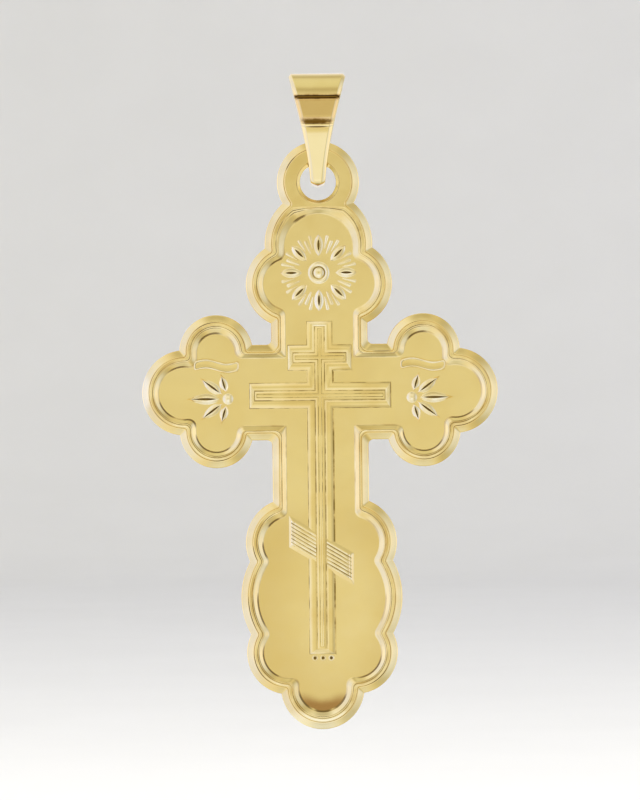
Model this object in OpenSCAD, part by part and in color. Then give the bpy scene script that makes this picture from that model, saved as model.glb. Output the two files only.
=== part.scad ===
// Orthodox cross pendant: a struck cross with a lobed rim, hung on a tapered bail.
// Units are millimetres. +Z is up and the front faces -Y. The origin is the middle of the
// channel at the top of the bail, where the chain runs along X.
// Heights within the cross are measured from its crossing, which lies cross_drop lower.

/* [Plate] */
// Full thickness of the cross at its rim
plate_t = 1.2; // [1:0.05:1.3]
// How far the field lies below the top of the rim
field_depth = 0.24; // [0.2:0.02:0.4]
// Chamfer round the edge of the back
back_chamfer = 0.12; // [0.05:0.01:0.2]
// Width of the outer bevel of the rim
bevel_w = 0.46; // [0.3:0.02:0.5]
// How far the bevel falls towards the edge
bevel_drop = 0.26; // [0.1:0.02:0.3]
// Width of the steep step from the bevel up to the raised band
step_w = 0.06; // [0.04:0.01:0.1]
// Height of that step
step_h = 0.12; // [0.05:0.01:0.2]
// Width of the rim round most lobes, from the edge to the foot of its inner slope
rim_w = 1.15; // [1.1:0.01:1.2]
// Width of the rim along the straight edges
straight_rim_w = 0.95; // [0.9:0.01:1]
// Width of the rim round the upper lobes of the arms
arm_rim_w = 1.22; // [1.15:0.01:1.25]
// How much wider or narrower than most the rim runs round some of the lobes
rim_change = 0.05; // [0:0.01:0.08]
// Width of the slope from the band down to the field
slope_w = 0.28; // [0.2:0.01:0.3]
// Height of the middle of the field's arch below the ear
arch_z = 9.58; // [9.5:0.02:9.7]
// Radius of that arch
arch_r = 2.32; // [2.24:0.02:2.36]

/* [Head] */
// Height of the ear's middle above the crossing
ear_z = 14; // [13.9:0.02:14.1]
// Outer radius of the ear
ear_r = 2.78; // [2.7:0.02:2.86]
// Radius of the hole that the bail passes through
hole_r = 1.21; // [1.19:0.01:1.25]
// Chamfer at each mouth of the hole
hole_chamfer = 0.2; // [0.05:0.01:0.24]
// Height of the single lobe below the ear
top_z = 9.86; // [9.7:0.02:10]
// Radius of the single lobe below the ear
top_r = 3.64; // [3.5:0.02:3.8]
// Sideways place of the two side lobes of the head
side_x = 2.04; // [1.9:0.02:2.2]
// Height of the two side lobes of the head
side_z = 7.15; // [7:0.05:7.3]
// Radius of the two side lobes of the head
side_r = 2.9; // [2.8:0.02:3]

/* [Stem and arms] */
// Half the width of the stem
stem_half = 3.25; // [3.15:0.05:3.35]
// Top edge of the arms above the crossing
arm_top = 3.08; // [3:0.02:3.16]
// Bottom edge of the arms below the crossing
arm_bottom = 3.37; // [3.3:0.01:3.45]
// Radius of the small fillet in each crotch between arm and stem
crotch_r = 0.35; // [0.2:0.05:0.5]
// Sideways place of the upper and lower lobes of an arm
arm_lobe_x = 6.99; // [6.9:0.01:7.05]
// Height of the upper lobe of an arm
arm_lobe_up = 2.63; // [2.55:0.01:2.7]
// Depth of the lower lobe of an arm
arm_lobe_down = 2.74; // [2.65:0.01:2.8]
// Radius of the upper and lower lobes of an arm
arm_lobe_r = 2.48; // [2.44:0.02:2.52]
// Sideways place of the lobe at the end of an arm
arm_end_x = 9.12; // [9.04:0.02:9.2]
// Depth of the end lobe's middle below the crossing
arm_end_down = 0.11; // [0:0.01:0.2]
// Radius of the lobe at the end of an arm
arm_end_r = 2.88; // [2.8:0.02:2.96]

/* [Foot] */
// Sideways place of the foot's shoulder lobes
shoulder_x = 2.12; // [2:0.02:2.2]
// Depth of the foot's shoulder lobes
shoulder_down = 10.28; // [10.2:0.02:10.4]
// Radius of the foot's shoulder lobes
shoulder_r = 2.98; // [2.9:0.02:3.06]
// Sideways place of the foot's broad middle lobes
waist_x = 0.33; // [0.25:0.01:0.4]
// Depth of the foot's broad middle lobes
waist_down = 13.97; // [13.9:0.01:14.05]
// Radius of the foot's broad middle lobes
waist_r = 5.11; // [5.05:0.01:5.2]
// Sideways place of the foot's lower lobes
toe_x = 2.27; // [2.2:0.01:2.35]
// Depth of the foot's lower lobes
toe_down = 17.7; // [17.6:0.05:17.8]
// Radius of the foot's lower lobes
toe_r = 2.82; // [2.76:0.02:2.88]
// Depth of the single lobe at the bottom
tip_down = 20.07; // [20:0.01:20.15]
// Radius of the single lobe at the bottom
tip_r = 2.82; // [2.76:0.02:2.88]

/* [Raised cross] */
// Height of the raised work above the field
relief_h = 0.14; // [0.1:0.02:0.2]
// Height of the ground between its ridges
relief_floor = 0.08; // [0.04:0.02:0.1]
// Width of every bar
bar_w = 1.65; // [1.6:0.01:1.7]
// Width of the ridge along each side of a bar
ridge_w = 0.48; // [0.4:0.02:0.5]
// Width of the ridge across the end of a bar
end_ridge_w = 0.32; // [0.2:0.02:0.4]
// Gap between a side ridge and the middle ridge
ridge_gap = 0.11; // [0.08:0.01:0.14]
// Top of the upright above the crossing
upright_top = 4.61; // [4.5:0.01:4.7]
// Bottom of the upright below the crossing
upright_down = 17.78; // [17.7:0.02:17.82]
// Depth of the three beads under the upright
bead_down = 18.03; // [18.02:0.01:18.06]
// Distance from one bead's middle to the next
bead_gap = 0.55; // [0.45:0.05:0.6]
// Radius of a bead
bead_r = 0.17; // [0.12:0.01:0.18]
// Height of the short upper bar
title_z = 2.18; // [2.12:0.02:2.24]
// Length of the short upper bar
title_len = 4.25; // [4.15:0.05:4.3]
// Depth of the long bar
beam_down = 0.37; // [0.3:0.01:0.45]
// Length of the long bar
beam_len = 9.46; // [9.3:0.02:9.5]
// Depth of the slanted footrest's middle
rest_down = 10.8; // [10.7:0.05:10.9]
// Width of the slanted footrest
rest_w = 4.15; // [4.05:0.05:4.3]
// Height of the footrest's upright ends
rest_h = 1.89; // [1.85:0.01:1.95]
// Slope of the footrest, whose left end is the higher
rest_slope = 30.8; // [29:0.2:33]

/* [Sun] */
// Height of the sun's middle above the crossing
sun_z = 7.9; // [7.85:0.05:7.95]
// Number of petals
petal_n = 8; // [6:1:8]
// Where a petal starts, from the sun's middle
petal_in = 1.15; // [1.05:0.05:1.25]
// Where a petal ends
petal_out = 2.6; // [2.5:0.05:2.7]
// Width of a petal
petal_w = 0.57; // [0.45:0.01:0.6]
// Width of the slit along a petal
petal_slit_w = 0.14; // [0.1:0.01:0.2]
// Length of that slit, as a share of the petal's
petal_slit_share = 0.55; // [0.4:0.05:0.7]
// Outer radius of the ring in the middle
boss_r = 0.65; // [0.55:0.01:0.75]
// Inner radius of the ring in the middle
boss_in_r = 0.38; // [0.34:0.01:0.42]
// Radius of the dot inside the ring
dot_r = 0.24; // [0.15:0.01:0.26]
// Height of the rays above the field
ray_h = 0.07; // [0.04:0.01:0.1]
// Outer width of a ray
ray_w = 0.16; // [0.1:0.01:0.18]

/* [Arm ornament] */
// Sideways place of the boss that the leaves spread from
palm_x = 6.2; // [6.1:0.05:6.3]
// Depth of that boss below the crossing
palm_down = 0.55; // [0.5:0.05:0.6]
// Radius of that boss
palm_boss_r = 0.36; // [0.25:0.01:0.4]
// Length of the middle leaf
leaf_len = 2.45; // [2.2:0.05:2.6]
// Width of the middle leaf
leaf_w = 0.74; // [0.5:0.02:0.76]
// Where a leaf starts, as a share of the boss's radius
leaf_start = 0.8; // [0.6:0.05:0.9]
// Height of the wavy band above the crossing
wave_z = 1.68; // [1.6:0.02:1.74]
// Length of the wavy band
wave_len = 3.1; // [3.05:0.05:3.15]
// Width of the wavy band
wave_w = 0.6; // [0.4:0.05:0.6]
// How far the wave swings up and down
wave_swing = 0.12; // [0.08:0.02:0.14]

/* [Bail] */
// Height of the origin above the ear's middle
bail_rise = 5.1; // [5.05:0.05:5.2]
// Outer radius of the loop's round top
loop_r = 2.26; // [2.2:0.02:2.4]
// Wall of the loop's round top
loop_t = 0.78; // [0.7:0.02:0.84]
// Half the depth of the bail at its closed bottom, outside
foot_half = 1.66; // [1.64:0.02:1.8]
// Half the depth of the slot that the ear hangs in
slot_half = 0.93; // [0.9:0.01:0.96]
// Bottom of the bail below the ear's middle
bail_bottom = 0.3; // [0.2:0.02:0.4]
// Height of the bar that passes through the hole
bar_t = 1.18; // [1:0.02:1.2]
// Half the width of the bail at its bottom
bottom_half = 0.49; // [0.4:0.01:0.5]
// Half the width of the bail at its top
top_half = 2; // [1.9:0.05:2.2]
// How strongly the sides flare, 1 being straight
flare = 1.5; // [1.2:0.05:1.7]
// How far in front of the origin the flat panel on the front lies
panel_y = 2.07; // [2.04:0.01:2.1]
// Top edge of that panel above the origin
panel_top = 0.63; // [0.5:0.01:0.75]
// Bottom edge of that panel below the origin, where the leg's lip starts
panel_bottom = 1.26; // [1.2:0.01:1.3]
// Radius of the bottom corners seen from the side
foot_round = 0.45; // [0.3:0.05:1]
// Radius of the bottom corners of the slot
slot_round = 0.25; // [0.15:0.05:0.3]
// Radius of the bottom corners seen from the front
tip_round = 0.32; // [0.1:0.02:0.36]

/* [Hidden] */
$fn = 96;
gold = "#e2ca80";
bail_gold = "#dcc585";
// How far a cut runs past the face that it opens
over = 0.5;
// How deep raised work is rooted in the plate
root = 0.1;
cross_drop = bail_rise + ear_z;
core_half = 1.3;
back_y = plate_t / 2;
front_y = -plate_t / 2;
field_y = front_y + field_depth;
step_d = bevel_w + step_w;
bevel_y = front_y + step_h;
edge_y = bevel_y + bevel_drop;
bar_half = bar_w / 2;
middle_in = ridge_w + ridge_gap;
wave_steps = 16;
flare_steps = 12;
corner_steps = 6;
foot_z = -bail_rise - bail_bottom;
bail_h = loop_r - foot_z;
slot_z = foot_z + bar_t;

// Paired round parts of the outline: [sideways place, height, radius, width of the rim]
PAIR_LOBES = [
    [side_x, side_z, side_r, rim_w + rim_change],
    [arm_lobe_x, arm_lobe_up, arm_lobe_r, arm_rim_w],
    [arm_lobe_x, -arm_lobe_down, arm_lobe_r, rim_w - rim_change],
    [arm_end_x, -arm_end_down, arm_end_r, rim_w],
    [shoulder_x, -shoulder_down, shoulder_r, rim_w + rim_change],
    [waist_x, -waist_down, waist_r, rim_w],
    [toe_x, -toe_down, toe_r, rim_w]
];
// Round parts on the middle line: [sideways place, height, radius]
EAR = [0, ear_z, ear_r];
TOP = [0, top_z, top_r];
TIP = [0, -tip_down, tip_r];
ARCH = [0, arch_z, arch_r];

// Section of the rim, from the back round to the front: [distance in from the edge, y]
RIM = [
    [back_chamfer, back_y],
    [0, back_y - back_chamfer],
    [0, edge_y],
    [bevel_w, bevel_y],
    [step_d, front_y]
];
// Leaves of an arm ornament: [turn from the middle leaf, share of its length, share of its width]
LEAVES = [
    [-74, 0.56, 0.8],
    [-37, 0.82, 0.9],
    [0, 1, 1],
    [37, 0.82, 0.9],
    [74, 0.56, 0.8]
];
// Rays between two petals: [turn from the middle of the gap, start, end, share of the width]
RAYS = [
    [-9, 1.6, 2.75, 0.8],
    [0, 1.3, 2.3, 1],
    [9, 1.6, 2.75, 0.8]
];

// Section of the sunken field's wall, run on past the front, with its foot at a distance from the edge
function wall(foot) = [
    [foot, field_y],
    [foot - slope_w * (1 + over / field_depth), front_y - over]
];
// Section of the rim for the plate itself, or of the wall for the sunken field
function section(sunken, foot) = sunken ? wall(foot) : RIM;
function bail_half(z) = bottom_half + (top_half - bottom_half) * pow((z - foot_z) / bail_h, flare);
// A quarter turn clockwise about a middle, from the angle given
function corner_arc(middle, r, from) =
    [for (i = [0:corner_steps])
        let (turn = from - 90 * i / corner_steps) middle + r * [cos(turn), sin(turn)]];

module both_sides() {
    children();
    mirror([1, 0, 0]) children();
}

// Carries a drawing of [x, z] to the plate and raises it h above the field
module raise(h) {
    translate([0, field_y + root, 0])
        rotate([90, 0, 0])
            linear_extrude(h + root) children();
}

// A round part, turned from a section
module lobe(place, section) {
    last = len(section) - 1;
    translate([place[0], 0, place[1]])
        rotate([90, 0, 0])
            rotate_extrude()
                polygon(concat(
                    [[0, -section[0][1]]],
                    [for (s = section) [place[2] - s[0], -s[1]]],
                    [[0, -section[last][1]]]
                ));
}

// A straight part with the same section along both edges, standing along Z
module strip(half, section, length) {
    linear_extrude(length)
        polygon(concat(
            [for (s = section) [half - s[0], s[1]]],
            [for (i = [len(section) - 1:-1:0]) [section[i][0] - half, section[i][1]]]
        ));
}

// The parts that the plate and its sunken field share
module outline_parts(sunken) {
    lobe(TIP, section(sunken, rim_w));
    both_sides() {
        for (place = PAIR_LOBES) lobe(place, section(sunken, place[3]));
        translate([arm_lobe_x, 0, -arm_lobe_down])
            strip(arm_lobe_r, section(sunken, arm_rim_w), arm_lobe_up + arm_lobe_down);
    }
    translate([0, 0, -waist_down])
        strip(stem_half, section(sunken, straight_rim_w), waist_down + side_z);
    translate([-arm_lobe_x, 0, (arm_top - arm_bottom) / 2])
        rotate([0, 90, 0])
            strip((arm_top + arm_bottom) / 2, section(sunken, straight_rim_w), 2 * arm_lobe_x);
}

module plate() {
    outline_parts(false);
    lobe(TOP, RIM);
    lobe(EAR, RIM);
    crotches();
}

// The pocket of the sunken field. A strip down the middle joins the floors of its lobes.
module pocket() {
    outline_parts(true);
    lobe(ARCH, wall(0));
    translate([0, 0, -tip_down]) strip(core_half, wall(0), tip_down + arch_z);
}

// The small fillet in the crotch at the right of the stem and above the arm
module crotch() {
    size = crotch_r + step_d;
    last = len(RIM) - 1;
    difference() {
        translate([-size, front_y, -size]) cube([size, plate_t, size]);
        rotate([90, 0, 0])
            rotate_extrude()
                polygon(concat(
                    [[0, -back_y - over]],
                    [[crotch_r + RIM[0][0] + over, -back_y - over]],
                    [for (s = RIM) [crotch_r + s[0], -s[1]]],
                    [[0, -RIM[last][1]]]
                ));
    }
}

module crotches() {
    both_sides() {
        translate([stem_half + crotch_r, 0, arm_top + crotch_r]) crotch();
        translate([stem_half + crotch_r, 0, -arm_bottom - crotch_r]) mirror([0, 0, 1]) crotch();
    }
}

module ear_hole() {
    mouth = hole_r + hole_chamfer + over;
    translate([0, 0, ear_z])
        rotate([90, 0, 0]) {
            translate([0, 0, -plate_t]) cylinder(r = hole_r, h = 2 * plate_t);
            translate([0, 0, plate_t / 2 - hole_chamfer])
                cylinder(r1 = hole_r, r2 = mouth, h = hole_chamfer + over);
            translate([0, 0, -plate_t / 2 - over])
                cylinder(r1 = mouth, r2 = hole_r, h = hole_chamfer + over);
        }
}

// The three bars and the footrest, drawn in from their sides and their ends
module bars(from_side, from_end) {
    half = bar_half - from_side;
    rest_half = rest_w / 2 - from_end;
    rest_rise = rest_half * tan(rest_slope);
    rest_half_h = rest_h / 2 - from_side / cos(rest_slope);
    translate([-half, -upright_down + from_end])
        square([2 * half, upright_down + upright_top - 2 * from_end]);
    translate([0, title_z]) square([title_len - 2 * from_end, 2 * half], center = true);
    translate([0, -beam_down]) square([beam_len - 2 * from_end, 2 * half], center = true);
    translate([0, -rest_down])
        polygon([
            [-rest_half, rest_rise - rest_half_h],
            [rest_half, -rest_rise - rest_half_h],
            [rest_half, -rest_rise + rest_half_h],
            [-rest_half, rest_rise + rest_half_h]
        ]);
}

module raised_cross() {
    raise(relief_floor) bars(0, 0);
    raise(relief_h) {
        difference() {
            bars(0, 0);
            bars(ridge_w, end_ridge_w);
        }
        bars(middle_in, end_ridge_w / 2);
        for (side = [-1:1]) translate([side * bead_gap, -bead_down]) circle(bead_r);
    }
}

// An almond shape from the origin along +X
module almond(length, width) {
    r = (length * length + width * width) / (4 * width);
    translate([length / 2, 0])
        intersection() {
            translate([0, r - width / 2]) circle(r);
            translate([0, width / 2 - r]) circle(r);
        }
}

module ray(start, end, width) {
    polygon([
        [start, -width / 4],
        [end, -width / 2],
        [end, width / 2],
        [start, width / 4]
    ]);
}

module sun() {
    gap = 360 / petal_n;
    length = petal_out - petal_in;
    slit = length * petal_slit_share;
    translate([0, 0, sun_z]) {
        raise(relief_h) {
            for (i = [0:petal_n - 1])
                rotate(90 + i * gap)
                    translate([petal_in, 0])
                        difference() {
                            almond(length, petal_w);
                            translate([(length - slit) / 2, 0]) almond(slit, petal_slit_w);
                        }
            difference() {
                circle(boss_r);
                circle(boss_in_r);
            }
        }
        raise(relief_floor) {
            for (i = [0:petal_n - 1])
                rotate(90 + i * gap) translate([petal_in, 0]) almond(length, petal_w);
            circle(boss_r);
        }
        raise(relief_h) circle(dot_r);
        raise(ray_h)
            for (i = [0:petal_n - 1], r = RAYS)
                rotate(90 + (i + 0.5) * gap + r[0]) ray(r[1], r[2], ray_w * r[3]);
    }
}

// Five leaves spread from a boss towards the end of the right arm
module palm_leaves() {
    translate([palm_x, 0, -palm_down])
        raise(relief_h) {
            circle(palm_boss_r);
            for (leaf = LEAVES)
                rotate(leaf[0])
                    translate([palm_boss_r * leaf_start, 0])
                        almond(leaf_len * leaf[1], leaf_w * leaf[2]);
        }
}

// A wavy band across the opening of an arm's upper lobe
module wave() {
    across = [for (i = [0:wave_steps]) i / wave_steps - 0.5];
    raise(relief_h)
        polygon(concat(
            [for (s = across) [s * wave_len, -wave_swing * sin(360 * s) + wave_w / 2]],
            [for (i = [wave_steps:-1:0])
                [across[i] * wave_len, -wave_swing * sin(360 * across[i]) - wave_w / 2]]
        ));
}

module cross() {
    color(gold)
        translate([0, 0, -cross_drop]) {
            difference() {
                plate();
                pocket();
                ear_hole();
            }
            raised_cross();
            sun();
            both_sides() palm_leaves();
            for (side = [-1, 1])
                translate([side * arm_lobe_x, 0, wave_z]) wave();
        }
}

// The bail or its opening, a drop shape of [depth, z] that runs along X: a round top drawn in
// by two flat flanks to a narrow bottom with rounded corners
module drop(r, half, bottom, corner, length) {
    knee = [half, bottom + corner];
    turn = atan2(knee[1], knee[0]) + acos(r / norm(knee));
    touch = r * [cos(turn), sin(turn)];
    translate([-length / 2, 0, 0])
        rotate([90, 0, 90]) {
            cylinder(r = r, h = length);
            linear_extrude(length)
                polygon(concat(
                    [touch],
                    corner_arc([half - corner, bottom + corner], corner, 0),
                    corner_arc([corner - half, bottom + corner], corner, -90),
                    [[-touch[0], touch[1]]]
                ));
        }
}

// The bail seen from the front, as a drawing of [x, z]
module bail_front() {
    base = foot_z + tip_round;
    half = bail_half(base);
    heights = [for (i = [1:flare_steps]) base + (loop_r + over - base) * i / flare_steps];
    polygon(concat(
        [for (i = [flare_steps - 1:-1:0]) [bail_half(heights[i]), heights[i]]],
        corner_arc([half - tip_round, base], tip_round, 0),
        corner_arc([tip_round - half, base], tip_round, -90),
        [for (z = heights) [-bail_half(z), z]]
    ));
}

module bail() {
    depth = 3 * loop_r;
    width = 2 * (top_half + over);
    color(bail_gold)
        intersection() {
            difference() {
                drop(loop_r, foot_half, foot_z, foot_round, width);
                drop(loop_r - loop_t, slot_half, slot_z, slot_round, width + over);
                translate([-width / 2, -depth - panel_y, -panel_bottom])
                    cube([width, depth, panel_bottom + panel_top]);
            }
            translate([0, depth / 2, 0])
                rotate([90, 0, 0])
                    linear_extrude(depth) bail_front();
        }
}

cross();
bail();
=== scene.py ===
# %% [markdown]
# # A gold orthodox cross pendant
# The pendant is two pieces of polished yellow gold: a struck cross with a lobed rim, and the tapered
# bail that it hangs from. The CAD part holds their sizes and how they move. This lesson dresses them
# for the camera: it builds a finer mesh for each, gives it a gold finish, and lights it in a small
# studio.

# %% Load the frame
import math
from collections import namedtuple

import bmesh
import bpy
import numpy as np
from mathutils import Matrix, Vector
from mathutils.geometry import delaunay_2d_cdt


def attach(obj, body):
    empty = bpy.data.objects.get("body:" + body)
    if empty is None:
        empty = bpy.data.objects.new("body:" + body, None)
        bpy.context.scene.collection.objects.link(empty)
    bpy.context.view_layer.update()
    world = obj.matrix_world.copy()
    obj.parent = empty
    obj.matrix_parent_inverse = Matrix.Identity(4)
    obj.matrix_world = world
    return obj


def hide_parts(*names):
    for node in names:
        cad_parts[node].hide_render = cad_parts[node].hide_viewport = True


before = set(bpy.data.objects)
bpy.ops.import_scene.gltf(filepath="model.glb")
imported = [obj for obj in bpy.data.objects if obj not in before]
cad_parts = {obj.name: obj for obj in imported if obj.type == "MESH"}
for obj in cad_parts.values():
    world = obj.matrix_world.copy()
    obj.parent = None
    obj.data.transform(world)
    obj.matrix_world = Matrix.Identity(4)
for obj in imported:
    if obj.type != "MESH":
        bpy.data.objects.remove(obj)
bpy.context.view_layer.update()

MM = 0.001

# %% [markdown]
# ## The camera
# The photograph looks straight at the front from some way off, so a long lens gives the same flat
# view. The cross hangs half a degree out of upright in it. Turning the camera by that angle is
# better than turning the cross, because the frame must stay where the CAD put it.

# %% Camera
LENS, SENSOR = 180, 36
VIEW_HEIGHT = 54.0
VIEW_MIDDLE = Vector((0.0, 0.0, -19.78))
ROLL = math.radians(-0.567)


def new_object(name, data):
    made = bpy.data.objects.new(name, data)
    bpy.context.scene.collection.objects.link(made)
    return made


camera = new_object("camera", bpy.data.cameras.new("camera"))
camera.data.lens = LENS
camera.data.sensor_width = SENSOR
camera_distance = VIEW_HEIGHT * LENS / SENSOR
camera.location = (VIEW_MIDDLE + Vector((0, -camera_distance, 0))) * MM
level = Matrix.Rotation(math.radians(90), 3, "X")
camera.rotation_euler = (level @ Matrix.Rotation(ROLL, 3, "Z")).to_euler()
camera.data.clip_start, camera.data.clip_end = 0.01, 20
bpy.context.scene.camera = camera
print("camera stands", round(camera_distance), "mm in front of the cross")

# %% [markdown]
# ## Gathering a surface
# Nearly every part of the cross is a set of closed rings: the same outline again and again, a little
# further in and a little higher or lower each time. A small class gathers the points, joins two rings
# with a band of four-sided faces, and fills a flat place between rings with triangles. Working in
# millimetres keeps the numbers readable.

# %% A class for rings, bands and caps
# Triangles are kept inside rings only, points this near count as one, and edges this sharp stay so
ONLY_INSIDE, NEAREST, SHARP_FROM = 1, 1e-6, 38


class Surface:
    def __init__(self):
        self.points, self.faces, self.finish = [], [], []

    def gather(self, points):
        """Adds points [x, y, z], and returns their numbers."""
        first = len(self.points)
        self.points += points
        return list(range(first, len(self.points)))

    def ring(self, drawing, y):
        """Adds the points [x, z] of a drawing at the depth y, and returns their numbers."""
        return self.gather([(x, y, z) for x, z in drawing])

    def face(self, corners, finish=0):
        self.faces.append(tuple(corners))
        self.finish.append(finish)

    def stack(self, rings, finishes=()):
        """Joins each ring to the next. finishes holds one finish for each band, or nothing."""
        for band, (a, b) in enumerate(zip(rings, rings[1:])):
            for i in range(len(a)):
                j = (i + 1) % len(a)
                self.face((a[i], a[j], b[j], b[i]), finishes[band] if finishes else 0)

    def cap(self, outer, holes=(), finish=0):
        """Fills a flat place inside one ring and outside others: the triangles in the first ring alone."""
        numbers, flat, shapes = [], [], []
        for ring in (outer, *holes):
            drawing = [Vector((self.points[n][0], self.points[n][2])) for n in ring]
            shape = list(range(len(flat), len(flat) + len(ring)))
            turned = sum(a.cross(b) for a, b in zip(drawing, drawing[1:] + drawing[:1]))
            shapes.append(shape if turned > 0 else shape[::-1])
            numbers += ring
            flat += drawing
        made, _, triangles, came_from, _, lies_in = delaunay_2d_cdt(flat, [], shapes, ONLY_INSIDE, NEAREST)
        if len(made) > len(flat):
            raise ValueError("two rings of a cap cross each other")
        for triangle, shapes_here in zip(triangles, lies_in):
            if list(shapes_here) == [0]:
                self.face([numbers[came_from[i][0]] for i in triangle], finish)

    def piece(self, name, materials):
        """Makes the mesh object, smooth but for its sharp edges."""
        mesh = bpy.data.meshes.new(name)
        mesh.from_pydata([Vector(p) * MM for p in self.points], [], self.faces)
        for material in materials:
            mesh.materials.append(material)
        mesh.polygons.foreach_set("material_index", self.finish)
        built = bmesh.new()
        built.from_mesh(mesh)
        bmesh.ops.recalc_face_normals(built, faces=built.faces)
        loose = [e for e in built.edges if not e.is_manifold]
        built.to_mesh(mesh)
        built.free()
        mesh.shade_smooth()
        mesh.set_sharp_from_angle(angle=math.radians(SHARP_FROM))
        made = new_object(name, mesh)
        weighted = made.modifiers.new("even shading", "WEIGHTED_NORMAL")
        weighted.keep_sharp = True
        triangles = sum(len(f) - 2 for f in self.faces)
        print(f"{name}: {len(self.points)} points, {triangles} triangles, {len(loose)} open edges")
        return made


(RIM_FINISH, BACK_FINISH, BAND_FINISH, FOOT_SHADE_FINISH,
 FIELD_FINISH, CREASE_SHADE_FINISH, DEEP_SHADE_FINISH, HIGHLIGHT_FINISH) = range(8)


def finishes(rows, dark, entry=0, plain=RIM_FINISH, groove=CREASE_SHADE_FINISH):
    """The finish of the band after each row: groove where its middle lies in one of the dark ranges."""
    middles = [(a[entry] + b[entry]) / 2 for a, b in zip(rows, rows[1:])]
    return [groove if any(low < m < high for low, high in dark) else plain for m in middles]


# %% [markdown]
# ## The cross's outline
# The rim follows round lobes of several sizes, joined by straight edges at the stem and the arms.
# Drawing it once is not enough: every ring of the rim needs it again, further in. So each lobe and
# each straight edge carries its own place at the outer edge and at the inner foot of the rim, and any
# ring lies between them. Measured on the real thing, the inner foot is a touch lower at the top arch.

# %% Sizes of the outline
CROSSING = -19.1
BAND_START = 0.58

# [sideways place, height, radius, inset of the rim's inner foot, how far that foot is lowered]
LOBES = {
    "ear": (0, 14, 2.78, BAND_START, 0),
    "top": (0, 9.86, 3.64, 1.32, 0.28),
    "side": (2.04, 7.15, 2.9, 1.17, 0),
    "arm_up": (6.99, 2.63, 2.48, 1.2, 0.06),
    "arm_end": (9.12, -0.11, 2.88, 1.12, 0.03),
    "arm_low": (6.99, -2.74, 2.48, 1.1, 0),
    "shoulder": (2.12, -10.28, 2.98, 1.19, 0.04),
    "waist": (0.33, -13.97, 5.11, 1.15, 0),
    "toe": (2.27, -17.7, 2.82, 1.13, 0),
    "tip": (0, -20.07, 2.82, 1.22, -0.04),
}
# [place, inset of the rim's inner foot, the way inwards]
EDGES = {"stem": (3.25, 0.96, -1), "arm_top": (3.08, 0.9, -1), "arm_bottom": (-3.37, 1.0, 1)}
# The band takes this share of the way round the lobes, and less along the narrower straight edges
BAND_SHARE, EDGE_BAND = 0.5, 0.25


def at_inset(d):
    """Every lobe and edge, d inside the outer edge."""
    lobes = {n: (x, z, r - d) for n, (x, z, r, _, _) in LOBES.items()}
    return lobes, {n: p + way * d for n, (p, _, way) in EDGES.items()}


def at_share(s):
    """Every lobe and edge, at a share s of the way from the band's start to the inner foot."""
    if s < BAND_SHARE:
        on_edge = s * EDGE_BAND / BAND_SHARE
    else:
        on_edge = 1 - (1 - s) * (1 - EDGE_BAND) / (1 - BAND_SHARE)
    lobes = {
        n: (x, z - lower * s, r - BAND_START - (foot - BAND_START) * s)
        for n, (x, z, r, foot, lower) in LOBES.items()
    }
    edges = {
        n: p + way * (BAND_START + (foot - BAND_START) * on_edge)
        for n, (p, foot, way) in EDGES.items()
    }
    return lobes, edges


# %% [markdown]
# Where two lobes meet, the outline has a notch. On a struck rim the band keeps its width round each
# notch, so the notch grows rounder further in. A fillet that touches both lobes does that. The
# helpers below find its middle and the points where it touches.

# %% Fillets and arcs
def fillet_middle(a, b, f):
    """Middle of a fillet of radius f that touches two lobes on their right side."""
    (ax, az, ar), (bx, bz, br) = a, b
    ra, rb = ar + f, br + f
    dx, dz = bx - ax, bz - az
    gap = math.hypot(dx, dz)
    along = (ra * ra - rb * rb + gap * gap) / (2 * gap)
    outs = [way * math.sqrt(ra * ra - along * along) for way in (1, -1)]
    return max((ax + (along * dx + out * dz) / gap, az + (along * dz - out * dx) / gap) for out in outs)


def beside(lobe, f, x):
    """How far above or below a lobe's middle a fillet of radius f lies at x."""
    return math.sqrt((lobe[2] + f) ** 2 - (x - lobe[0]) ** 2)


def mix(a, b, k):
    return tuple(p + (q - p) * k for p, q in zip(a, b))


def touch(lobe, middle):
    """Where a fillet about a middle touches a lobe."""
    return mix(lobe, middle, lobe[2] / math.dist(lobe[:2], middle))


def heading(middle, point):
    return math.atan2(point[1] - middle[1], point[0] - middle[0])


def arc(middle, start, stop, count, way=-1):
    """Points from start towards stop about a middle, the stop left out. way is -1 for clockwise."""
    a, b = heading(middle, start), heading(middle, stop)
    r = math.dist(middle[:2], start)
    if (b - a) * way < 0:
        b += way * math.tau
    turns = [a + (b - a) * i / count for i in range(count)]
    return [(middle[0] + r * math.cos(t), middle[1] + r * math.sin(t)) for t in turns]


def line(start, stop, count):
    return [mix(start, stop, i / count) for i in range(count)]


def over_lobe(lobe, up, start, stop, count):
    """Points over a lobe whose sides run straight on. up is 1 for a lobe that faces up, -1 for down."""
    x, z, r = lobe

    def unrolled(p):
        side = (p[1] - z) * up
        if side < 0:
            return side if p[0] < x else math.pi * r - side
        return (math.pi - math.atan2(side, p[0] - x)) * r

    def rolled(s):
        if s < 0:
            return (x - r, z + up * s)
        if s > math.pi * r:
            return (x + r, z - up * (s - math.pi * r))
        return (x - r * math.cos(s / r), z + up * r * math.sin(s / r))

    a, b = unrolled(start), unrolled(stop)
    return [rolled(a + (b - a) * i / count) for i in range(count)]


# %% [markdown]
# An arm's two lobes are alike: each meets the straight edge at one side and the arm's round end at
# the other. Near the rim's foot a lobe is so small that its sides run straight on to the fillet.

# %% Where an arm's lobe ends
def at_arm_edge(lobe, edge, way, f):
    """Middle of the fillet by the straight edge, and where it meets the lobe. way is as up above."""
    off = max((edge - lobe[1]) * way + f, 0)
    m = (lobe[0] - math.sqrt((lobe[2] + f) ** 2 - off ** 2), edge + way * f)
    return m, touch(lobe, m) if off else (lobe[0] - lobe[2], m[1])


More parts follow.
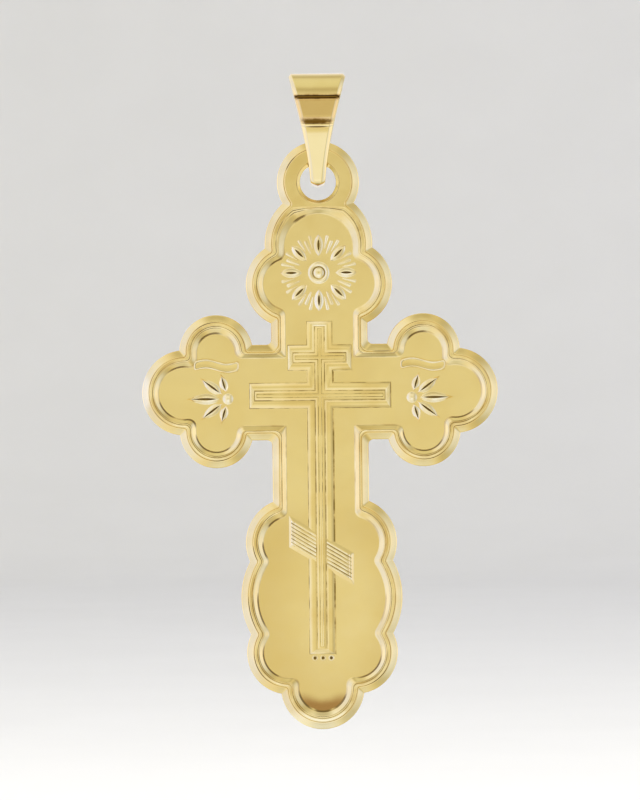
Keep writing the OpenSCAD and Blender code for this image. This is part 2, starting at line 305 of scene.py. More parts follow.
def at_arm_end(lobe, end, way, f):
    """The same by the arm's round end."""
    m = fillet_middle(lobe, end, f)
    if (m[1] - lobe[1]) * way >= 0:
        return m, touch(lobe, m)
    side = lobe[0] + lobe[2]
    m = (side + f, end[1] + way * beside(end, f, side + f))
    return m, (side, m[1])


# %% [markdown]
# One function walks down the right half of the outline, from the ear to the tip, lobe by lobe. It
# always gives the same number of points, whatever the inset, so any two rings can be joined. The left
# half is its mirror image.

# %% Walk along the right half
COUNTS = {"ear": 60, "neck": 12, "top": 16, "side": 26, "stem": 3, "edge": 3, "lobe": 46, "end": 40,
          "low_stem": 6, "shoulder": 40, "waist": 44, "toe": 34, "tip": 34, "fillet": 5, "crotch": 7}


def walk(lobes, edges, f, crotch, start):
    """Points from start on the top lobe to the tip, with fillets of radius f between the lobes."""
    _, top, side, up, end, low, shoulder, waist, toe, tip = lobes.values()
    stem, arm_top, arm_bottom = edges.values()
    points, here = [], start

    def go(stop, part, middle=None, up=0):
        """Goes on to stop: straight, or about a middle, or over an arm's lobe that faces up or down."""
        nonlocal here
        count = COUNTS[part]
        if middle is None:
            points.extend(line(here, stop, count))
        elif up:
            points.extend(over_lobe(middle, up, here, stop, count))
        else:
            points.extend(arc(middle, here, stop, count, 1 if part in ("fillet", "crotch") else -1))
        here = stop

    m = fillet_middle(top, side, f)
    go(touch(top, m), "top", top)
    go(touch(side, m), "fillet", m)
    m = (stem + f, side[1] - beside(side, f, stem + f))
    go(touch(side, m), "side", side)
    go((stem, m[1]), "fillet", m)
    m = (stem + crotch, arm_top + crotch)
    go((stem, m[1]), "stem")
    go((m[0], arm_top), "crotch", m)
    m, joint = at_arm_edge(up, arm_top, 1, f)
    go((m[0], arm_top), "edge")
    go(joint, "fillet", m)
    m, joint = at_arm_end(up, end, 1, f)
    go(joint, "lobe", up, 1)
    go(touch(end, m), "fillet", m)
    m, joint = at_arm_end(low, end, -1, f)
    go(touch(end, m), "end", end)
    go(joint, "fillet", m)
    m, joint = at_arm_edge(low, arm_bottom, -1, f)
    go(joint, "lobe", low, -1)
    go((m[0], arm_bottom), "fillet", m)
    m = (stem + crotch, arm_bottom - crotch)
    go((m[0], arm_bottom), "edge")
    go((stem, m[1]), "crotch", m)
    m = (stem + f, shoulder[1] + beside(shoulder, f, stem + f))
    go((stem, m[1]), "low_stem")
    go(touch(shoulder, m), "fillet", m)
    for part, lobe, after in (("shoulder", shoulder, waist), ("waist", waist, toe), ("toe", toe, tip)):
        m = fillet_middle(lobe, after, f)
        go(touch(lobe, m), part, lobe)
        go(touch(after, m), "fillet", m)
    go((0, tip[1] - tip[2]), "tip", tip)
    return points + [here]


def mirrored(half):
    """A whole ring from its right half, whose ends lie on the middle line."""
    ring = half + [(-x, z) for x, z in half[-2:0:-1]]
    return [(x, z + CROSSING) for x, z in ring]


# %% [markdown]
# The ear needs care. Its ring of metal runs into the band of the top lobe without an edge, so the two
# share one flat place, and the band starts again below the ear's hole. Rings near the edge therefore
# go round the ear, and rings further in cross below it along a neck.

# %% Whole rings
NECK_TOP = 12.4
# Radii of the fillets between two lobes and of those in the corners of the arms: at the outer edge,
# what they gain for each millimetre inwards, and at the rim's inner foot
EDGE_RADII, GAIN, FOOT_RADII = (0.03, 0.35), (0.4, 0.3), (0.5, 0.12)


def radii_at(d):
    return [start + gain * d for start, gain in zip(EDGE_RADII, GAIN)]


def ear_notch(lobes, d):
    return fillet_middle(lobes["ear"], lobes["top"], radii_at(d)[0])


def outer_ring(d):
    """The whole outline with the ear, d inside its edge."""
    lobes, edges = at_inset(d)
    ear, top = lobes["ear"], lobes["top"]
    m = ear_notch(lobes, d)
    half = arc(ear, (0, ear[1] + ear[2]), touch(ear, m), COUNTS["ear"])
    half += arc(m, touch(ear, m), touch(top, m), COUNTS["fillet"], 1)
    return mirrored(half + walk(lobes, edges, *radii_at(d), touch(top, m)))


neck_turn = heading(LOBES["top"], ear_notch(at_inset(BAND_START)[0], BAND_START))


def on_top_lobe(s, turn):
    x, z, r = at_share(s)[0]["top"]
    return (x + r * math.cos(turn), z + r * math.sin(turn))


def band_ring(s):
    """The outline below the ear, at a share s of the way from the band's start to its inner foot."""
    lobes, edges = at_share(s)
    start_x, start_z = on_top_lobe(0, neck_turn)
    neck = []
    for i in range(COUNTS["neck"]):
        k = i / COUNTS["neck"]
        above = (start_x * k, NECK_TOP + (start_z - NECK_TOP) * k * k)
        neck.append(mix(above, on_top_lobe(1, math.pi / 2 + (neck_turn - math.pi / 2) * k), s))
    neck[0] = (0, neck[0][1])
    radii = mix(radii_at(BAND_START), FOOT_RADII, s)
    return mirrored(neck + walk(lobes, edges, *radii, on_top_lobe(s, neck_turn)))


print("points round the outline:", len(outer_ring(0)), "and below the ear:", len(band_ring(0)))

# %% [markdown]
# ## The plate and its rim
# Now the rim's section. From the back it goes round a softened edge, up the side, over a wide bevel
# that catches the light, and up a small step to the raised band. The band carries a fine line and a
# groove, as a turned die leaves them, and then a slope drops to the sunken field. Each row below is
# one ring. Wherever a flat cap joins on, the first two rings lie at the same depth, so the cap stays
# truly flat in a mirror finish. The creases and the foot of the slope get darker finishes: painted shade.

# %% Rings of the rim
FRONT, FIELD, BACK = -0.6, -0.36, 0.6

# [inset from the edge, depth]
OUTSIDE = [
    (0.2, BACK), (0.17, BACK), (0.12, 0.594), (0.06, 0.572), (0.02, 0.535), (0, 0.48), (0, 0.47), (0, -0.17),
    (0, -0.185), (0.015, -0.215), (0.04, -0.238), (0.085, -0.262), (0.1, -0.27), (0.22, -0.341),
    (0.33, -0.407), (0.35, -0.42), (0.43, -0.48), (0.45, -0.489), (0.468, -0.489), (0.485, -0.482),
    (0.497, -0.497), (0.515, -0.552), (0.528, -0.575), (0.542, -0.586), (0.56, -0.59), (BAND_START, -0.59),
]
# [share of the way to the inner foot, depth]
INSIDE = [
    (0.03, -0.59), (0.07, -0.5945), (0.12, -0.598), (0.17, FRONT), (0.205, -0.5995), (0.235, -0.597),
    (0.265, -0.58), (0.295, -0.597), (0.33, -0.5975), (0.37, -0.594), (0.4, -0.589), (0.43, -0.572),
    (0.46, -0.578), (0.49, -0.571), (0.53, -0.556), (0.6, -0.527), (0.7, -0.486), (0.8, -0.4445),
    (0.85, -0.4238), (0.9, -0.403), (0.95, -0.383), (0.985, -0.3705), (1.02, -0.3625), (1.05, FIELD),
    (1.08, FIELD),
]
# [radius, depth]
HOLE = [
    (1.5, -0.59), (1.48, -0.59), (1.46, -0.588), (1.445, -0.58), (1.43, -0.587), (1.415, -0.586),
    (1.4, -0.579), (1.38, -0.567), (1.31, -0.52), (1.245, -0.477), (1.228, -0.463), (1.216, -0.442),
    (1.211, -0.41), (1.21, -0.36), (1.21, 0.4), (1.21, 0.41), (1.235, 0.48), (1.29, 0.545), (1.35, 0.588),
    (1.38, BACK), (1.41, BACK),
]
# The creases in painted shade, as ranges of those insets, shares and radii
OUTSIDE_CREASES, INSIDE_CREASES, HOLE_CREASES = [(0.46, 0.535)], [(0.235, 0.295)], [(1.435, 1.465)]
# The band's end, and the rows that get the foot's painted shade: the one after the band and those at the
# slope's foot
BAND_END, BAND_FOOT, FOOT_START, FOOT_END = 0.41, 0.46, 0.85, 1.05
# Points round each circle
ROUND = {"hole": 72, "hollow": 20, "heart": 40, "bead": 32, "floor": 96}


def circle(x, z, r, part):
    turns = [math.tau * i / ROUND[part] for i in range(ROUND[part])]
    return [(x + r * math.cos(t), z + r * math.sin(t)) for t in turns]


cross = Surface()
outside = [cross.ring(outer_ring(d), y) for d, y in OUTSIDE]
# The outer crease gets the foot's finish: painted shade with painted shadows
cross.stack(outside, finishes(OUTSIDE, OUTSIDE_CREASES, groove=FOOT_SHADE_FINISH))

ear_z = LOBES["ear"][1] + CROSSING
hole = [cross.ring(circle(0, ear_z, r, "hole"), y) for r, y in HOLE]
cross.stack(hole, finishes(HOLE, HOLE_CREASES))
cross.cap(outside[0], [hole[-1]], BACK_FINISH)

# %% Join the band to the ear
last = outside[-1]
join = COUNTS["ear"] + COUNTS["fillet"]
whole_neck = band_ring(0)
neck_count = COUNTS["neck"]
right_neck = cross.ring(whole_neck[:neck_count], OUTSIDE[-1][1])
left_neck = cross.ring(whole_neck[-(neck_count - 1):], OUTSIDE[-1][1])
band_first = right_neck + last[join:len(last) - join + 1] + left_neck
cross.cap(last[:join + 1] + right_neck[::-1] + left_neck[::-1] + last[len(last) - join:], [hole[0]])
inside = [band_first] + [cross.ring(band_ring(s), y) for s, y in INSIDE]
inside_finishes = finishes(INSIDE, INSIDE_CREASES)
for i, ((start, _), (stop, _)) in enumerate(zip(INSIDE, INSIDE[1:])):
    if inside_finishes[i] == RIM_FINISH and stop <= BAND_END:
        inside_finishes[i] = BAND_FINISH
    elif start < BAND_FOOT and stop > BAND_END or FOOT_START <= start and stop <= FOOT_END:
        inside_finishes[i] = FOOT_SHADE_FINISH
    elif start >= FOOT_END:
        inside_finishes[i] = FIELD_FINISH
cross.stack(inside, [BAND_FINISH] + inside_finishes)
print("rim done:", len(cross.points), "points,", len(cross.faces), "faces")

# %% [markdown]
# ## The raised work
# Everything on the field was struck with it, so each raised shape grows out of the field's own
# surface: its lowest ring is a hole in the field's flat cap. Each shape is again a stack of rings, and
# a short table of rows gives its section from the foot to the crest.

# %% A helper for raised work
raised_feet = []


def raise_up(rings, bands=(), top=RIM_FINISH):
    """Stacks rings [drawing, height above the field], closes the top, and keeps the foot as a hole."""
    numbers = [cross.ring(drawing, FIELD - height) for drawing, height in rings]
    cross.stack(numbers, bands)
    cross.cap(numbers[-1], finish=top)
    raised_feet.append(numbers[0])


# %% [markdown]
# The three-bar cross comes first. A low, worn ridge follows the outline of all its bars, corners
# mitred, and inside it a groove and a middle ridge follow the same line. So one drawing, shrunk in
# steps, makes all of it. The ridges across the bars' ends are narrower, and so steeper, and they get a
# pale painted highlight. Below the top, the feet that face right get painted shade, as the light comes
# from the left.

# %% Three-bar cross: outline
BAR = 0.825
UPRIGHT = (4.61, -17.78)
TITLE, BEAM = (2.18, 2.125), (-0.37, 4.73)
END_SHARE = 0.667


def bar_side(side):
    """Corners of one side of the bars, from the top down. side is 1 for the right and -1 for the left."""
    corners = [(BAR, UPRIGHT[0])]
    for z, end in (TITLE, BEAM):
        corners += [(BAR, z + BAR), (end, z + BAR), (end, z - BAR), (BAR, z - BAR)]
    return [(side * x, z) for x, z in corners + [(BAR, UPRIGHT[1])]]


bar_corners = bar_side(1) + bar_side(-1)[::-1]


def shrunk(corners, by):
    """The outline moved inwards by a distance, less at the ends of the bars."""
    n = len(corners)
    ways = []
    for i in range(n):
        (x0, z0), (x1, z1) = corners[i], corners[(i + 1) % n]
        length = math.hypot(x1 - x0, z1 - z0)
        ways.append(((z1 - z0) / length, (x0 - x1) / length))

    def turns_in(i):
        a, b = ways[i - 1], ways[i % n]
        return a[0] * b[1] - a[1] * b[0] < 0

    far = [by * (END_SHARE if turns_in(i) and turns_in(i + 1) else 1) for i in range(n)]
    moved = []
    for i in range(n):
        (ax, az), (bx, bz) = ways[i - 1], ways[i]
        det = ax * bz - az * bx
        x = (far[i - 1] * bz - far[i] * az) / det
        z = (far[i] * ax - far[i - 1] * bx) / det
        moved.append((corners[i][0] + x, corners[i][1] + z + CROSSING))
    return moved


# %% Three-bar cross: ridges
# [distance in from the side, height above the field]
RIDGES = [
    (-0.12, 0), (-0.05, 0), (-0.025, 0.005), (0, 0.016), (0.05, 0.036), (0.1, 0.053), (0.15, 0.066),
    (0.2, 0.075), (0.25, 0.08), (0.3, 0.08), (0.35, 0.075), (0.4, 0.065), (0.44, 0.055), (0.465, 0.046),
    (0.49, 0.036), (0.51, 0.036), (0.535, 0.046), (0.56, 0.055), (0.6, 0.068), (0.65, 0.079), (0.69, 0.083),
    (0.715, 0.078), (0.735, 0.078), (0.76, 0.084), (0.79, 0.087), (0.8, 0.087),
]
# The foot, the groove and the fine line by the middle ridge, in painted shade
RIDGE_CREASES = [(-0.055, 0.01), (0.455, 0.54), (0.7, 0.74)]
# How far in from the side the ends carry a pale painted highlight, and the feet dark painted shade
PALE_END, DARK_FOOT = 0.45, 0

first_face = len(cross.faces)
raise_up([(shrunk(bar_corners, d), h) for d, h in RIDGES], finishes(RIDGES, RIDGE_CREASES))
for i, (a, b) in enumerate(zip(bar_corners, bar_corners[1:] + bar_corners[:1])):
    at_end = math.isclose(math.dist(a, b), 2 * BAR)
    faces_right = a[0] == b[0] > 0 and b[1] < TITLE[0]
    for row, (d, _) in enumerate(RIDGES[1:]):
        face = first_face + row * len(bar_corners) + i
        # Below the top, feet that face right get painted shade; the bars' ends a pale painted highlight
        if faces_right and d <= DARK_FOOT:
            cross.finish[face] = CREASE_SHADE_FINISH
        elif row == 0:
            cross.finish[face] = FIELD_FINISH
        elif at_end and cross.finish[face] == RIM_FINISH and d <= PALE_END:
            cross.finish[face] = HIGHLIGHT_FINISH
print("three-bar cross:", len(bar_corners), "corners,", len(RIDGES), "rings")

# %% [markdown]
# Three small beads close off the foot of the upright. A round punch leaves such beads: a low ring with
# a hollow in it, the ring in a pale painted highlight and the hollow in dark painted shade. Stacked
# circles give that shape, and the sun's heart can use the same helper.

# %% Three hollow beads under the upright
HOLLOW_PLACES, HOLLOW_Z, HOLLOW_RADIUS = (-0.5, 0.04, 0.6), -18.07, 0.19
# [share of the radius, height above the field]
HOLLOW_ROWS = [
    (1.06, 0), (1, 0), (0.88, 0.018), (0.76, 0.026), (0.66, 0.02), (0.55, -0.006), (0.45, -0.02),
    (0.35, -0.024),
]
# The shares of the radius where the hollow is in dark painted shade
HOLLOW_DARK = [(0.3, 0.6)]


def raise_round(part, middle, radius, rows, top, dark=(), groove=CREASE_SHADE_FINISH):
    """Raises a round shape in a pale painted highlight, whose rows are [share of the radius, height above
    the field].
    """
    x, z = middle[0], middle[1] + CROSSING
    rings = [(circle(x, z, radius * share, part), height) for share, height in rows]
    raise_up(rings, finishes(rows, dark, plain=HIGHLIGHT_FINISH, groove=groove), top)


for x in HOLLOW_PLACES:
    raise_round("hollow", (x, HOLLOW_Z), HOLLOW_RADIUS, HOLLOW_ROWS, DEEP_SHADE_FINISH, HOLLOW_DARK, DEEP_SHADE_FINISH)
print("hollow beads:", len(HOLLOW_PLACES))

# %% [markdown]
# The sun above the bars has eight pointed petals, hollowed along the middle, with three rays between
# each two, and a small ring with a bead at its heart. A petal is an almond drawn by two arcs. All these
# shapes are turned about the sun's middle. Their finish is pale, a painted highlight, and the slit of
# each petal is deep and dark, in painted shade.

# %% A helper for pointed shapes
def even(count):
    return [i / count for i in range(count + 1)]


def raise_pointed(middle, turn, places, half_width, start, length, width, rows, slit=()):
    """Raises a shape with two points in a pale painted highlight, its slit in dark painted shade, whose rows
    are [share of length, of width, height].
    """
    c, s = math.cos(math.radians(turn)), math.sin(math.radians(turn))
    there, back = [(t, -1) for t in places[1:-1]], [(t, 1) for t in places[-2:0:-1]]
    rings = []
    for along, across, height in rows:
        drawing = []
        for t, way in [(0, 0), *there, (1, 0), *back]:
            a = start + length * (0.5 + (t - 0.5) * along)
            b = way * half_width(t) * across * width
            drawing.append((middle[0] + a * c - b * s, middle[1] + a * s + b * c + CROSSING))
        rings.append((drawing, height))
    raise_up(rings, finishes(rows, slit, 1, HIGHLIGHT_FINISH, DEEP_SHADE_FINISH), DEEP_SHADE_FINISH if slit else HIGHLIGHT_FINISH)


# %% Sun
SUN, PETALS = (0, 7.9), 8
PETAL_START, PETAL_LENGTH, PETAL_WIDTH, PETAL_STEPS = 1.13, 1.46, 0.62, 12
# [share of the length, share of the width, height above the field]
PETAL_ROWS = [
    (1.03, 1.1, 0), (1, 1, 0), (0.98, 0.93, 0.012), (0.94, 0.82, 0.032), (0.88, 0.68, 0.055),
    (0.8, 0.53, 0.075), (0.7, 0.4, 0.088), (0.6, 0.31, 0.094), (0.53, 0.25, 0.095), (0.48, 0.2, 0.084),
    (0.45, 0.14, 0.068), (0.42, 0.08, 0.06), (0.4, 0.05, 0.06),
]
# The shares of the width where a petal's slit is in dark painted shade
PETAL_SLIT = [(0.04, 0.23)]
RAY_ROWS = [
    (1.02, 1.2, 0), (1, 1, 0), (0.98, 0.82, 0.012), (0.95, 0.55, 0.028), (0.93, 0.3, 0.036),
    (0.92, 0.1, 0.038),
]
RAY_PLACES = (0, 0.05, 0.5, 0.94, 1)
# [turn from the middle of the gap, start, end, width at the end]
RAYS = [(-9, 1.62, 2.6, 0.2), (0, 1.35, 2.35, 0.22), (9, 1.62, 2.6, 0.2)]
# [radius, height above the field]
HEART = [
    (0.75, 0), (0.72, 0.002), (0.69, 0.02), (0.65, 0.044), (0.61, 0.061), (0.57, 0.067), (0.53, 0.062),
    (0.49, 0.047), (0.455, 0.03), (0.43, 0.018), (0.38, 0.016), (0.35, 0.022), (0.31, 0.042), (0.26, 0.066),
    (0.2, 0.084), (0.13, 0.094), (0.06, 0.096),
]
HEART_GROOVE = [(0.36, 0.45)]


def almond_half(t):
    """Half the width of a petal at a share t of its length. Each side is an arc."""
    r = (PETAL_LENGTH ** 2 + PETAL_WIDTH ** 2) / (4 * PETAL_WIDTH)
    return math.sqrt(r * r - (PETAL_LENGTH * (t - 0.5)) ** 2) - r + PETAL_WIDTH / 2


def ray_half(t):
    """The same for a ray of width 1, which is half as wide at its start."""
    return 0.25 + 0.25 * t


for i in range(PETALS):
    turn, gap = 90 + 360 / PETALS * i, 180 / PETALS
    raise_pointed(SUN, turn, even(PETAL_STEPS), almond_half, PETAL_START, PETAL_LENGTH, 1,
                  PETAL_ROWS, PETAL_SLIT)
    for offset, start, end, width in RAYS:
        raise_pointed(SUN, turn + gap + offset, RAY_PLACES, ray_half, start, end - start, width, RAY_ROWS)
raise_round("heart", SUN, 1, HEART, RIM_FINISH, HEART_GROOVE)
print("sun:", PETALS, "petals,", PETALS * len(RAYS), "rays and a heart")

# %% [markdown]
# Each arm ends in a palmette, a plain leaf pattern as old as goldwork: five leaves that spread from a
# bead, each with a vein. The leaves are widest beyond their middle and narrow where they meet.

# %% Palmettes
PALM, BEAD = (6.2, -0.55), 0.36
LEAF_START, LEAF_LENGTH, LEAF_WIDTH, LEAF_STEPS = 0.43, 2.4, 0.7, 14
LEAF_LEAN, LEAF_POINT = 0.8, 1.2
# [turn, share of the length, share of the width]
LEAVES = [(-74, 0.56, 0.8), (-37, 0.82, 0.9), (0, 1, 1), (37, 0.82, 0.9), (74, 0.56, 0.8)]
LEAF_ROWS = [
    (1.01, 1.07, 0), (1, 1, 0), (0.985, 0.94, 0.012), (0.96, 0.84, 0.032), (0.92, 0.7, 0.058),
    (0.87, 0.56, 0.08), (0.82, 0.42, 0.096), (0.77, 0.3, 0.105), (0.73, 0.22, 0.108), (0.7, 0.15, 0.095),
    (0.67, 0.08, 0.078), (0.66, 0.05, 0.078),
]
# The shares of the width where a leaf's vein is in dark painted shade
LEAF_VEIN = [(0.04, 0.2)]
BEAD_ROWS = [
    (1.05, 0), (1, 0), (0.9, 0.022), (0.76, 0.05), (0.58, 0.078), (0.38, 0.1), (0.2, 0.11), (0.1, 0.112),
]


def leaf_half(t):
    """Half the width of a leaf of width 1, widest beyond its middle."""
    return math.sin(math.pi * t ** LEAF_LEAN) ** LEAF_POINT / 2 if 0 < t < 1 else 0


for side in (1, -1):
    middle = (side * PALM[0], PALM[1])
    for turn, long, wide in LEAVES:
        away = turn if side == 1 else 180 + turn
        raise_pointed(middle, away, even(LEAF_STEPS), leaf_half, LEAF_START, LEAF_LENGTH * long,
                      LEAF_WIDTH * wide, LEAF_ROWS, LEAF_VEIN)
    raise_round("bead", middle, BEAD, BEAD_ROWS, HIGHLIGHT_FINISH)
print("palmettes: 2, of", len(LEAVES), "leaves")

# %% [markdown]
# Now the field can be filled in between. It is flat, so triangles between the rim's foot and the feet
# of all the raised shapes are enough, and its finish is kept apart from the rim's.

# %% Field
cross.cap(inside[-1], raised_feet, finish=FIELD_FINISH)
print("field filled round", len(raised_feet), "raised shapes")

# %% [markdown]
# A wavy ribbon crosses the upper lobe of each arm and runs into the rim at its outer end. Because it
# meets the rim's slope, it can't be a hole in the field. It is a closed shape of its own instead,
# rooted a little way into the metal.

# %% Ribbons
RIBBON_FROM, RIBBON_TO, RIBBON_Z = 5.42, 8.5, 1.68
RIBBON_HALF, RIBBON_SWING, RIBBON_STEPS = 0.36, 0.15, 28
# What part of the length each round end takes, how wide it starts, and how deep the shape is rooted
ROUND_PART, END_WIDTH, ROOT = 0.05, 0.55, -0.1
# [how far the ends draw in, share of the width, height above the field]
RIBBON_ROWS = [
    (0, 1, ROOT), (0, 1, 0), (0.01, 0.96, 0.028), (0.03, 0.88, 0.062), (0.05, 0.81, 0.082),
    (0.07, 0.74, 0.088), (0.09, 0.67, 0.082), (0.11, 0.6, 0.064), (0.13, 0.54, 0.054), (0.16, 0.48, 0.052),
]
# The ribbon's crease is painted shade, and its sides outside the core a pale painted highlight
RIBBON_CREASES, CORE = [(0.55, 0.62)], 0.6
RIBBON_FINISHES = [f if f == CREASE_SHADE_FINISH or row[1] < CORE else HIGHLIGHT_FINISH
                   for f, row in zip(finishes(RIBBON_ROWS, RIBBON_CREASES, 1), RIBBON_ROWS)]


def ribbon_ring(side, draw_in, share):
    """The ribbon's outline on one arm: along its lower edge and back along its upper one."""
    low, high = [], []
    for t in even(RIBBON_STEPS):
        k = t if side == 1 else 1 - t
        x = RIBBON_FROM + draw_in + (RIBBON_TO - RIBBON_FROM - 2 * draw_in) * k
        z = RIBBON_Z - side * RIBBON_SWING * math.sin(math.tau * (k - 0.5)) + CROSSING
        rounding = math.sqrt(1 - max(0, 1 - min(k, 1 - k) / ROUND_PART) ** 2)
        half = RIBBON_HALF * share * (END_WIDTH + (1 - END_WIDTH) * rounding)
        low.append((side * x, z - half))
        high.append((side * x, z + half))
    return low + high[::-1]


for side in (1, -1):
    rings = [cross.ring(ribbon_ring(side, draw_in, share), FIELD - h) for draw_in, share, h in RIBBON_ROWS]
    cross.stack(rings, RIBBON_FINISHES)
    cross.cap(rings[0])
    cross.cap(rings[-1])
print("ribbons: 2")

# %% [markdown]
# The slanted footrest has two halves, one on each side of the upright. Each is a small block with a
# raised frame and five fine ridges that run along the slope, so a grid of points with a height for each
# suits it better than rings. It also lies over the bars' outer ridges, so it too is a closed shape of
# its own.

# %% Footrest
REST_Z, REST_FROM, REST_TO, REST_SLOPE = -10.8, 0.36, 2.075, math.radians(30.8)
VALLEY, FRAME_CREST, FRAME_SIDE = 0.1, 0.66, 0.7
# A fine ridge's far side, then the valley and the next ridge: [distance on, height above the field]
REST_RIDGE = [
    (0.045, 0.131), (0.08, 0.112), (0.1, VALLEY), (0.12, VALLEY), (0.14, 0.112), (0.175, 0.131),
    (0.22, 0.136),
]
# Half of its section: [distance from its middle line, height above the field]
REST_ACROSS = [(0, 0.136)] + [(start + d, height) for start in (0, 0.22) for d, height in REST_RIDGE] + [
    (0.485, 0.13), (0.52, 0.112), (0.54, VALLEY), (0.565, VALLEY), (0.59, 0.115), (0.625, 0.138),
    (FRAME_CREST, 0.149), (0.695, 0.147), (0.735, 0.129), (0.785, 0.098), (0.835, 0.065), (0.88, 0.034),
    (0.91, 0.012), (0.935, 0), (0.94, ROOT),
]
# Along it, from the end inwards: [distance from the end, height of the end's ridge]
END_CREST, END_FOOT, END_REACH, FADE = 0.155, 0.27, 0.33, 0.6
REST_END = [
    (-0.105, ROOT), (-0.1, 0), (-0.075, 0.012), (-0.045, 0.034), (0, 0.065), (0.045, 0.096), (0.09, 0.126),
    (0.125, 0.143), (END_CREST, 0.149), (0.19, 0.142), (0.22, 0.122), (0.245, VALLEY), (END_FOOT, VALLEY),
]
INWARDS = [d for d, _ in REST_END] + [0.3, 0.34, 0.8, 1.3, REST_TO - REST_FROM]
# The valleys in dark painted shade, and how many rows at the end climb its outer side
REST_VALLEYS, END_ROWS = [(0.08, 0.14), (0.3, 0.36), (0.52, 0.59)], 5


def rest_height(inward, across):
    """Height at a distance in from the end and a distance across from the middle line."""
    section = float(np.interp(across, *zip(*REST_ACROSS)))
    on_frame = across > FRAME_CREST
    if inward > END_REACH or on_frame and inward > END_CREST:
        return section
    end = float(np.interp(inward, *zip(*REST_END)))
    if on_frame:
        return min(section, end)
    return max(end, min(section, VALLEY + (inward - END_FOOT) * FADE))


acrosses = [-a for a, _ in REST_ACROSS[:0:-1]] + [a for a, _ in REST_ACROSS]
for side in (1, -1):
    rows = []
    for inward in INWARDS:
        x = side * (REST_TO - inward)
        z = REST_Z + CROSSING - x * math.tan(REST_SLOPE)
        rows.append(cross.gather([(x, FIELD - rest_height(inward, abs(a)), z + a / math.cos(REST_SLOPE))
                                  for a in acrosses]))
    for row, (a, b) in enumerate(zip(rows, rows[1:])):
        for i in range(len(a) - 1):
            middle = abs(acrosses[i] + acrosses[i + 1]) / 2
            # The crests get a pale painted highlight, the valleys painted shade
            finish = HIGHLIGHT_FINISH
            if row < END_ROWS or middle > FRAME_SIDE:
                finish = RIM_FINISH
            elif any(low < middle < high for low, high in REST_VALLEYS):
                finish = CREASE_SHADE_FINISH
            cross.face((a[i], a[i + 1], b[i + 1], b[i]), finish)
    last = rows[-1]
    below = cross.ring([(cross.points[i][0], cross.points[i][2]) for i in last[1:-1]], FIELD - ROOT)
    root = [last[0], *below, last[-1]]
    for i in range(len(last) - 1):
        cross.face(dict.fromkeys((last[i], last[i + 1], root[i + 1], root[i])))
    around = [row[0] for row in rows] + root[1:-1] + [row[-1] for row in rows[::-1]] + rows[0][-2:0:-1]
    cross.face(around[::-1])
print("footrest: 2 halves,", len(acrosses), "points across")

# %% [markdown]
# ## The gold
# Polished 14 karat gold is a metal with a warm, pale yellow tone. What makes it look real is small:
# the tone shifts a little from place to place, the surface is never quite flat or evenly polished,
# and narrow corners get a browner painted shade. One set of nodes does all that, and each part of
# the cross gets it with numbers of its own: the rim, the back, the raised band, the foot of the rim's
# slope in painted shade, the field, the fine creases in painted shade, the deep slits in darker
# painted shade and the pale painted highlights. On top come soft spots of painted light and shade at
# chosen places: pale painted highlights on the rim, painted shadows at the foot of the slope, and a
# reddish painted shade at the bottom of the field.

# %% Node helpers
def fill(tree, socket, value):
    """Sets a socket to a value, or joins it to the output that is given."""
    if isinstance(value, bpy.types.NodeSocket):
        tree.links.new(value, socket)
    else:
        socket.default_value = value


def add(tree, kind, inputs, output=0, **settings):
    """Adds a node, sets it up, fills its inputs, and returns one of its outputs."""
    node = tree.nodes.new("ShaderNode" + kind)
    for name, value in settings.items():
        setattr(node, name, value)
    for name, value in inputs.items():
        fill(tree, node.inputs[name], value)
    return node.outputs[output]


def noise(tree, place, scale, detail, rough=0.5):
    return add(tree, "TexNoise", {"Vector": place, "Scale": scale, "Detail": detail, "Roughness": rough})


def spread(tree, value, low, high, to_low, to_high, how="SMOOTHSTEP"):
    """Maps a value from one range to another, and holds it at the ends."""
    ranges = {"From Min": low, "From Max": high, "To Min": to_low, "To Max": to_high}
    return add(tree, "MapRange", {"Value": value, **ranges}, interpolation_type=how)


def blended(tree, factor, a, b):
    return add(tree, "Mix", {0: factor, 6: a, 7: b}, 2, data_type="RGBA")


def joined(tree, operation, a, b=0.0):
    return add(tree, "Math", {0: a, 1: b}, operation=operation)


def new_material(name):
    """A material, its nodes, its shader, and the output that says where on the object a spot is."""
    material = bpy.data.materials.new(name)
    material.use_nodes = True
    tree = material.node_tree
    return material, tree, tree.nodes["Principled BSDF"], add(tree, "TexCoord", {}, "Object")


# %% Gold material
# A spot of painted light or shade. grows: the shares of the radii where the spot is nought and full. below:
# where it fades upwards
PaintedSpot = namedtuple("PaintedSpot", "middle radii grows ragged colour strength below", defaults=[None])
# Noises: [scale, detail, roughness]
RAGGED, SMEARS, SWELL, PITS = (2600, 2, 0.6), (900, 4, 0.6), (170, 3, 0.5), (7000, 3, 0.6)
# The clouds' scale is each gold's own
CLOUDS = (3, 0.55)
# The part of the range of the clouds, the smears and the shading of corners that counts
CLOUD_RANGE, SMEAR_RANGE, CORNER_RANGE = (0.35, 0.68), (0.3, 0.7), (0.15, 0.65)
CORNER_REACH, CORNER_SAMPLES = 0.2 * MM, 8
# The browner painted shade that narrow corners get, by how shut in they are
CORNER_SHADE = (0.3, 0.195, 0.045, 1)


def spotted(tree, place, tone, spot):
    """Lays a soft, uneven spot of painted light or shade over a tone."""
    off = add(tree, "VectorMath", {0: place, 1: Vector(spot.middle) * MM}, operation="SUBTRACT")
    off = add(tree, "VectorMath", {0: off, 1: Vector(spot.radii) * MM}, operation="DIVIDE")
    far = add(tree, "VectorMath", {0: off}, 1, operation="LENGTH")
    shift = joined(tree, "SUBTRACT", noise(tree, place, *RAGGED), 0.5)
    uneven = joined(tree, "ADD", far, joined(tree, "MULTIPLY", shift, spot.ragged))
    share = spread(tree, uneven, *spot.grows, 0, spot.strength)
    if spot.below:
        height = add(tree, "SeparateXYZ", {0: place}, "Z")
        low, high = (z * MM for z in spot.below)
        share = joined(tree, "MULTIPLY", share, spread(tree, height, low, high, 1, 0))
    return blended(tree, share, tone, spot.colour)


